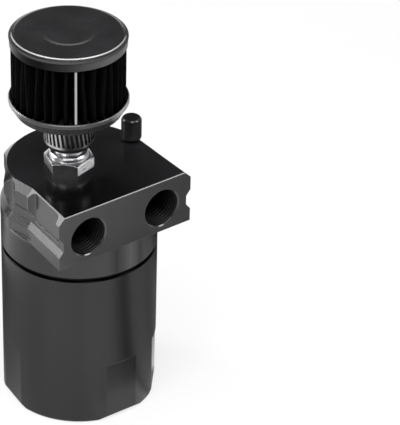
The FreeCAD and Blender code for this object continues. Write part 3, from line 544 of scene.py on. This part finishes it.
def polished(looks):
    """Polished fitting, with faint turning rings."""
    f = Finish("polished", Metallic=1.0)
    height = f.along("Z")
    rings = f.noise(1.0, 2.0, stretch=(20, 20, 4200))
    streaks = f.noise(1.0, 3.0, stretch=(500, 500, 1400))
    cloud = f.noise(120.0, 3.0)
    tone = f.mix(cloud.between(0.35, 0.65), shade(looks.bright, 0.95), shade(looks.bright, 1.1))
    f.feed("Base Color", tone)
    # The hexagon's flats are streaked and lean back a little, but not the one to the front left
    upright = f.level().between(0.0, 0.3, 1.0, 0.0)
    flank = upright * f.facing((-0.707, -0.707, 0)).between(0.6, 0.9, 1.0, 0.0)
    crown = height.above(node_box("head_block")[1].z + 0.0046)
    f.feed("Roughness", cloud.spread(0.06, 0.13) + flank * 0.1 + crown * 0.2)
    f.relief(rings * 0.000002 + flank * (streaks * 0.0002 - height * 0.35), 0.0002)
    return f.material


def bright_steel(looks):
    """Rolled steel, with short scratches along it."""
    f = Finish("bright_steel", Metallic=1.0)
    scratches = f.noise(1.0, 4.0, stretch=(160, 160, 6000))
    tone = f.mix(f.noise(150.0, 3.0).spread(), shade(looks.bright, 0.8), looks.bright)
    f.feed("Base Color", f.mix(f.edge_wear_and_highlight(0.0002, 3.0) * 0.5, tone, (0.85, 0.85, 0.86)))
    f.feed("Roughness", scratches.spread(0.2, 0.34))
    f.relief(scratches * 0.000004, 0.0002)
    return f.material


def clamp_steel(looks):
    """Pressed steel of the neck's clamp, with painted shade between painted bright spots, and of
    the seam strip.
    """
    f = Finish("clamp_steel", Metallic=1.0)
    cloud = f.noise(420.0, 3.0)
    tone = f.mix(cloud.between(0.35, 0.65), shade(looks.bright, 0.25), shade(looks.bright, 0.48))
    # Painted highlights and shade: the clamp is bright on its left, less so at its right end, and
    # dark between
    aside = f.over(ASIDE, node_middle("clamp_band"))
    clamp_painted_glint = aside.between(-0.0035, -0.0005, 1.0, 0.0) + aside.between(0.004, 0.007, 0.0, 0.6)
    painted_dark = f.mix(0.75, tone, (0.02, 0.02, 0.02))
    tone = f.mix(clamp_painted_glint, painted_dark, f.mix(0.5, tone, looks.bright))
    tone = f.mix(f.edge_wear_and_highlight(0.0001, 3.0) * 0.3, tone, looks.bright)
    strip = f.along("Z").above(node_box("element_seam")[0].z)
    f.feed("Base Color", f.mix(strip, tone, shade(looks.bright, 0.66)))
    f.feed("Roughness", cloud.spread(0.22, 0.36))
    f.relief(cloud * 0.000008, 0.00008)
    return f.material


def plain_aluminium(looks):
    """Machined aluminium, for the plates and tubes inside."""
    f = Finish("plain_aluminium", Metallic=1.0)
    inputs = {"W": f.radius(), "Scale": 3500.0, "Detail": 3.0}
    rings = f.node("ShaderNodeTexNoise", {"noise_dimensions": "1D"}, inputs)
    cloud = f.noise(100.0, 3.0)
    f.feed("Base Color", f.mix(cloud.spread(), (0.62, 0.62, 0.64), (0.76, 0.76, 0.77)))
    f.feed("Roughness", rings.spread(0.28, 0.42))
    f.relief(rings * 0.000005, 0.0002)
    return f.material


def wire_gauze(looks):
    """Tangle of fine knitted wire."""
    f = Finish("wire_gauze", Metallic=1.0)
    inputs = {"Vector": f.place(), "Scale": 900.0}
    loops = f.node("ShaderNodeTexVoronoi", {"feature": "DISTANCE_TO_EDGE"}, inputs)
    wire = loops.between(0.02, 0.12, 1.0, 0.0)
    f.feed("Base Color", f.mix(wire, (0.05, 0.05, 0.052), looks.bright))
    f.feed("Roughness", wire.between(0.0, 1.0, 0.7, 0.3))
    f.relief(wire * 0.0002)
    return f.material


def moulded_rubber(looks):
    """Matt moulded rubber with a fine grain."""
    f = Finish("moulded_rubber", IOR=1.3)
    grain = f.noise(1600.0, 3.0)
    cloud = f.noise(80.0, 3.0)
    f.feed("Base Color", f.mix(cloud.spread(), shade(looks.rubber, 0.7), shade(looks.rubber, 1.6)))
    f.feed("Roughness", cloud.spread(0.5, 0.65))
    f.relief(grain * 0.00002, 0.0004)
    return f.material


def pleat_cloth(looks):
    """Oiled woven cloth of the pleats."""
    f = Finish("pleat_cloth", IOR=1.16)
    yarn = {"Scale": 900.0, "Distortion": 1.0}
    up = f.node("ShaderNodeTexWave", {"bands_direction": "Z"},
                {"Vector": f.place(), **yarn}, output="Fac")
    across = f.node("ShaderNodeTexWave", {"bands_direction": "DIAGONAL"},
                    {"Vector": f.place(stretch=(1, 1, 0)), **yarn}, output="Fac")
    weave = up * across
    cloud = f.noise(260.0, 4.0)
    f.feed("Base Color", f.mix(weave * cloud, shade(looks.cloth, 0.5), shade(looks.cloth, 3.0)))
    f.feed("Roughness", cloud.spread(0.7, 0.95))
    f.relief(weave * 0.00006 + cloud * 0.00008)
    return f.material


def knob_black(looks):
    """Black anodised knob, with rubbed wear and painted highlights on the knurl's peaks and its
    edges, and painted shade on its sides.
    """
    f = Finish("knob_black", IOR=1.5)
    low, high = node_box("dipstick_knob")
    radius = (high.x - low.x) / 2
    cloud = f.noise(300.0, 3.0)
    tone = f.mix(cloud.spread(), shade(looks.anodised, 0.5), looks.anodised)
    # Peaks of the knurl: rubbed wear, and a painted highlight
    rubbed_lit_peak = f.radius(node_middle("dipstick_knob")).between(radius + 0.00014, radius + 0.00028)
    tone = f.mix(rubbed_lit_peak, tone, (0.28, 0.28, 0.284))
    # Edges, most of all round the top: rubbed wear and a painted highlight
    top = f.along("Z").above(high.z - 0.0006)
    worn_and_lit_edge = f.edge_wear_and_highlight(0.00025, 3.0) * (top * 0.9 + 0.1)
    f.feed("Base Color", f.mix(worn_and_lit_edge, tone, (0.4, 0.4, 0.405)))
    # Painted shade: Metallic takes the mirroring off the knob's sides and leaves them dark
    f.feed("Metallic", 1 - top)
    f.feed("Roughness", cloud.spread(0.13, 0.2))
    f.relief(cloud * 0.000006, 0.0002)
    return f.material


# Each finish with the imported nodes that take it
FINISHES = (
    (anodised_turned, ("collection_cup",)),
    (anodised_milled, ("head_block",)),
    (pressed_sheet, ("filter_cap", "filter_dish")),
    (polished, ("breather_fitting",)),
    (clamp_steel, ("clamp_band", "clamp_housing", "clamp_screw", "element_seam")),
    (bright_steel, ("dipstick_rod", "baffle_screws", "screw_washers", "gauze_screen",
                    "filter_core")),
    (plain_aluminium, ("inlet_tube", "baffle_plate", "baffle_spacers", "splash_plate")),
    (wire_gauze, ("gauze_pack",)),
    (moulded_rubber, ("filter_neck", "cup_seal", "fitting_seal", "dipstick_seal")),
    (pleat_cloth, ("filter_element",)),
    (knob_black, ("dipstick_knob",)),
)


def finish_of(name):
    """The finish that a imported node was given."""
    return NODES[name].data.materials[0]


# Operators

class CATCHCAN_OT_finishes(bpy.types.Operator):
    """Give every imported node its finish"""
    bl_idname = "catchcan.finishes"
    bl_label = "Finishes"

    def execute(self, context):
        for make, names in FINISHES:
            material = make(context.scene.catchcan_looks)
            for name in names:
                mesh = NODES[name].data
                mesh.materials.clear()
                mesh.materials.append(material)
        return {"FINISHED"}


class CATCHCAN_OT_pleats(bpy.types.Operator):
    """Fold the cloth of the filter element, a little unevenly"""
    bl_idname = "catchcan.pleats"
    bl_label = "Pleats"

    def execute(self, context):
        sizes = context.scene.catchcan_sizes
        low, high = node_box("filter_element")
        centre = (low + high) / 2
        crest = (high.y - low.y) / 2 - 0.00005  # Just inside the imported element's wall
        # The first fold lies under the seam strip and is the only even one
        strip = node_middle("element_seam") - centre
        first = math.atan2(strip.y, strip.x)
        pitch = math.tau / sizes.fold_count
        stray = sizes.fold_wander
        # Drawn for each fold: its turn, its depth, the start and speed of its bend, and a spare
        chance = random.Random(7)
        uneven = [[chance.uniform(-1, 1) for _ in range(5)] for _ in range(sizes.fold_count - 1)]
        folds = [[0.0] * 5] + uneven

        bm = bmesh.new()
        corners = len(FOLD_SHAPE)
        around = sizes.fold_count * corners
        ring = bmesh.ops.create_circle(bm, segments=around, radius=crest)["verts"]
        for index, vert in enumerate(ring):
            fold, corner = divmod(index, corners)
            share, depth = FOLD_SHAPE[corner]
            turned, sunk = folds[fold][:2]
            angle = first + pitch * (fold + share) + turned * stray / crest
            radius = crest - depth * sizes.fold_depth - abs(sunk) * stray * (1 - depth)
            vert.co = Vector((radius * math.cos(angle), radius * math.sin(angle), 0))
        bmesh.ops.translate(bm, vec=Vector((centre.x, centre.y, low.z)), verts=bm.verts)

        edges = bm.edges[:]
        for row in range(FOLD_ROWS):
            fresh, edges = raise_row(bm, edges, (high.z - low.z) / FOLD_ROWS)
            for vert in fresh:
                out = Vector((vert.co.x - centre.x, vert.co.y - centre.y, 0)).normalized()
                fold = round((math.atan2(out.y, out.x) - first) / pitch) % sizes.fold_count
                start, speed = folds[fold][2] * 3, folds[fold][3]
                sway = stray * FOLD_SWAY * (math.sin(start + row * speed) - math.sin(start))
                vert.co += Vector((-out.y, out.x, 0)) * sway
        bmesh.ops.remove_doubles(bm, verts=bm.verts, dist=0.000001)
        bmesh.ops.recalc_face_normals(bm, faces=bm.faces)
        piece = keep(bm, "pleated_cloth", finish_of("filter_element"), "head", 25.0)
        wall = piece.modifiers.new("sheet", "SOLIDIFY")
        wall.thickness = sizes.cloth_thickness
        wall.offset = -1.0
        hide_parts("filter_element")
        return {"FINISHED"}


class CATCHCAN_OT_port_threads(bpy.types.Operator):
    """Cut the thread's ridges in both front ports"""
    bl_idname = "catchcan.port_threads"
    bl_label = "Port threads"

    def execute(self, context):
        sizes = context.scene.catchcan_sizes
        pitch = sizes.thread_pitch
        painted_dark = thread_black(context.scene.catchcan_looks)
        inwards = Vector((0, 1, 0))
        for port in PORTS:
            radius = port["dims"]["r_mm"] * MM
            crest = radius - sizes.thread_height
            start = Vector(port["pos_m"]) + inwards * pitch * 0.5
            # It ends a little before the bore does
            turns = port["dims"]["length_mm"] * MM / pitch - 1.2
            bm = bmesh.new()
            thread(bm, start, inwards, radius - HAIR, crest, pitch, turns, steps=48)
            keep(bm, port["name"] + "_thread", painted_dark, "head", 20.0)
        return {"FINISHED"}


class CATCHCAN_OT_spigot_thread(bpy.types.Operator):
    """Cut the thread's ridges on the head's spigot, seen once the cup is down"""
    bl_idname = "catchcan.spigot_thread"
    bl_label = "Cup thread"

    def execute(self, context):
        sizes = context.scene.catchcan_sizes
        pitch = sizes.thread_pitch
        low = node_box("head_block")[0].z
        crest = SPIGOT_RADIUS + sizes.spigot_thread_height
        start = Vector((0, 0, low + pitch))
        # It ends a little under the seal
        turns = (node_box("cup_seal")[0].z - low) / pitch - 1.8
        bm = bmesh.new()
        thread(bm, start, Vector((0, 0, 1)), SPIGOT_RADIUS - HAIR, crest, pitch, turns, steps=96)
        keep(bm, "spigot_thread", finish_of("head_block"), "head", 20.0)
        return {"FINISHED"}


class CATCHCAN_OT_knurl(bpy.types.Operator):
    """Press the diamond knurl round the dipstick's knob"""
    bl_idname = "catchcan.knurl"
    bl_label = "Knurl"

    def execute(self, context):
        sizes = context.scene.catchcan_sizes
        low, high = node_box("dipstick_knob")
        centre = (low + high) / 2
        radius = (high.x - low.x) / 2 + HAIR
        columns = sizes.knurl_teeth * KNURL_STEPS
        rise = math.tau * radius / columns
        # From just above the head to the chamfer round the knob's top
        top = high.z - 0.0007
        bottom = node_box("head_block")[1].z + 0.001
        rows = int((top - bottom) / rise)
        bm = bmesh.new()
        bmesh.ops.create_circle(bm, segments=columns, radius=radius)
        bmesh.ops.translate(bm, vec=Vector((0, 0, top - rows * rise)), verts=bm.verts)
        edges = bm.edges[:]
        for _ in range(rows):
            edges = raise_row(bm, edges, rise)[1]
        for vert in bm.verts:
            column = round(math.atan2(vert.co.y, vert.co.x) / math.tau * columns)
            row = round((top - vert.co.z) / rise)
            if row in (0, rows):
                continue
            # Two sets of grooves cross; a spot stands as high as the nearer groove lets it
            half = KNURL_STEPS / 2
            slopes = [abs((column + lean * row) % KNURL_STEPS - half) / half for lean in (1, -1)]
            grown = 1 + min(slopes) * sizes.knurl_height / radius
            vert.co.x *= grown
            vert.co.y *= grown
        bmesh.ops.translate(bm, vec=Vector((centre.x, centre.y, 0)), verts=bm.verts)
        bmesh.ops.recalc_face_normals(bm, faces=bm.faces)
        keep(bm, "knob_knurl", finish_of("dipstick_knob"), "dipstick", 15.0)
        return {"FINISHED"}


class CATCHCAN_OT_stage(bpy.types.Operator):
    """Set up the floor, backdrop, room, lamps and camera"""
    bl_idname = "catchcan.stage"
    bl_label = "Studio"

    def execute(self, context):
        scene = context.scene
        self.floor(scene.catchcan_looks)
        self.backdrop()
        self.room(scene)
        self.lamps(scene)
        self.camera(scene)
        scene.view_settings.view_transform = "Standard"
        return {"FINISHED"}

    def floor(self, looks):
        """Pale floor that takes the can's shadow. Shiny walls mirror a card in its place."""
        bm = bmesh.new()
        bmesh.ops.create_grid(bm, x_segments=1, y_segments=1, size=FLOOR_HALF_WIDTH)
        f = Finish("pale_floor", Roughness=0.9)
        f.feed("Base Color", looks.floor)
        lit = Signal(f, f.shader.outputs[0])
        seen = f.blend(f.ray("Is Camera Ray") * FLOOR_WHITENESS, lit, f.glow(WHITE))
        f.surface(f.blend(f.ray("Is Glossy Ray"), seen, f.glow(self.card(f))))
        floor = make_object(bm, "floor", f.material)

    def card(self, f):
        """What the shiny walls mirror: pale in front and far off, dark at the sides and behind."""
        away, aside = f.over(AWAY), f.over(ASIDE)
        reach = (away * away + aside * aside) ** 0.5
        # Degrees round the can from the viewer's side, more to the right
        turn = f.node("ShaderNodeMath", {"operation": "ARCTAN2"}, [aside, 0 - away])
        turn = turn * math.degrees(1)
        # A pale lobe in front, with a narrow streak to its right
        lobe = turn.between(-120, -35, 0.12, 0.9) * turn.between(-35, 15, 1.0, 1.15)
        lobe = lobe * turn.between(38, 60, 1.0, 0.2)
        streak = turn.between(68, 76, 0.0, 0.35) * turn.between(82, 110, 1.0, 0.0)
        near = (lobe + streak) * reach.between(0.04, 0.12, 0.8, 1.1)
        # Two pale patches close to the foot, at its front right and at its right and behind
        foot = reach.between(0.045, 0.06, 1.0, 0.0) * aside.between(0.0, 0.012)
        foot = foot * turn.between(65, 78, 1.0, 0.0)
        beside = aside.between(0.022, 0.028) * aside.between(0.037, 0.04, 1.0, 0.0)
        beside = beside * away.between(0.003, 0.01) * away.between(0.045, 0.055, 1.0, 0.0)
        # Pale again further off, less so to the right, and dark behind the can
        far = (reach - aside * 0.15).between(0.12, 0.15) * aside.between(-0.1, 0.1, 1.0, 0.58)
        behind = away.between(0.06, 0.1, 1.0, 0.12).most(reach.between(0.21, 0.26))
        return f.mix(near.most(foot).most(far.most(beside)) * behind, BLACK, WHITE)

    def backdrop(self):
        """Low pale wall round the right and the back, which only the shiny pieces see."""
        bm = bmesh.new()
        start = Vector((math.cos(BACKDROP_START), math.sin(BACKDROP_START), 0)) * BACKDROP_RADIUS
        ends = [bm.verts.new(start + Vector((0, 0, z))) for z in (0.0, BACKDROP_HEIGHT)]
        bmesh.ops.spin(bm, geom=[*ends, bm.edges.new(ends)], axis=(0, 0, 1),
                       angle=BACKDROP_SWEEP, steps=BACKDROP_STEPS)
        f = Finish("backdrop")
        clear = f.node("ShaderNodeBsdfTransparent")
        f.surface(f.blend(f.ray("Is Glossy Ray"), clear, f.glow(WHITE)))
        wall = make_object(bm, "backdrop", f.material)

    def room(self, scene):
        """Dim grey all round, and white where the camera looks past the floor."""
        world = bpy.data.worlds.new("room")
        world.use_nodes = True
        nodes = world.node_tree.nodes
        room = NodeBuilder(world.node_tree)
        room.connect(nodes["Background"].inputs["Color"], ROOM_GREY)
        dim = Signal(room, nodes["Background"].outputs[0])
        white = room.node("ShaderNodeBackground", inputs={"Color": WHITE})
        seen = room.blend(room.ray("Is Camera Ray"), dim, white)
        room.connect(nodes["World Output"].inputs["Surface"], seen)
        scene.world = world

    def lamps(self, scene):
        """Square soft lamps round the can."""
        for name, place, target, width, power in LAMPS:
            lamp = bpy.data.lights.new(name, "AREA")
            lamp.shape = "SQUARE"
            lamp.size = width
            lamp.energy = power
            holder = bpy.data.objects.new(name, lamp)
            holder.location = place
            aim = Vector(target) - Vector(place)
            holder.rotation_euler = aim.to_track_quat("-Z", "Y").to_euler()
            scene.collection.objects.link(holder)

    def camera(self, scene):
        """Camera that sees the can as the photograph does."""
        lens = bpy.data.cameras.new("camera")
        lens.lens = CAMERA_LENS
        lens.sensor_width = CAMERA_SENSOR
        lens.clip_start = CAMERA_NEAR
        lens.clip_end = CAMERA_FAR
        camera = bpy.data.objects.new("camera", lens)
        turn = Matrix((CAMERA_RIGHT, CAMERA_UP, CAMERA_BACK)).transposed()
        camera.matrix_world = Matrix.Translation(CAMERA_PLACE) @ turn.to_4x4()
        scene.collection.objects.link(camera)
        scene.camera = camera


class CATCHCAN_PT_panel(bpy.types.Panel):
    """Sidebar panel that lists the catch can's settings and operators"""
    bl_idname = "CATCHCAN_PT_panel"
    bl_label = "Catch can"
    bl_space_type = "VIEW_3D"
    bl_region_type = "UI"
    bl_category = "Catch can"

    def draw(self, context):
        for group in (context.scene.catchcan_looks, context.scene.catchcan_sizes):
            for name in group.__annotations__:
                self.layout.prop(group, name)
        for operator in OPERATORS:
            self.layout.operator(operator.bl_idname)


# In the order in which they run
OPERATORS = (
    CATCHCAN_OT_stage,
    CATCHCAN_OT_finishes,
    CATCHCAN_OT_pleats,
    CATCHCAN_OT_port_threads,
    CATCHCAN_OT_spigot_thread,
    CATCHCAN_OT_knurl,
)
CLASSES = (CatchCanLooks, CatchCanSizes, *OPERATORS, CATCHCAN_PT_panel)


def register():
    for cls in CLASSES:
        bpy.utils.register_class(cls)
    bpy.types.Scene.catchcan_looks = PointerProperty(type=CatchCanLooks)
    bpy.types.Scene.catchcan_sizes = PointerProperty(type=CatchCanSizes)


def unregister():
    del bpy.types.Scene.catchcan_sizes
    del bpy.types.Scene.catchcan_looks
    for cls in reversed(CLASSES):
        bpy.utils.unregister_class(cls)


def main():
    """Runs every operator in turn."""
    register()
    for operator in OPERATORS:
        group, name = operator.bl_idname.split(".")
        getattr(getattr(bpy.ops, group), name)()


if __name__ == "__main__":
    main()
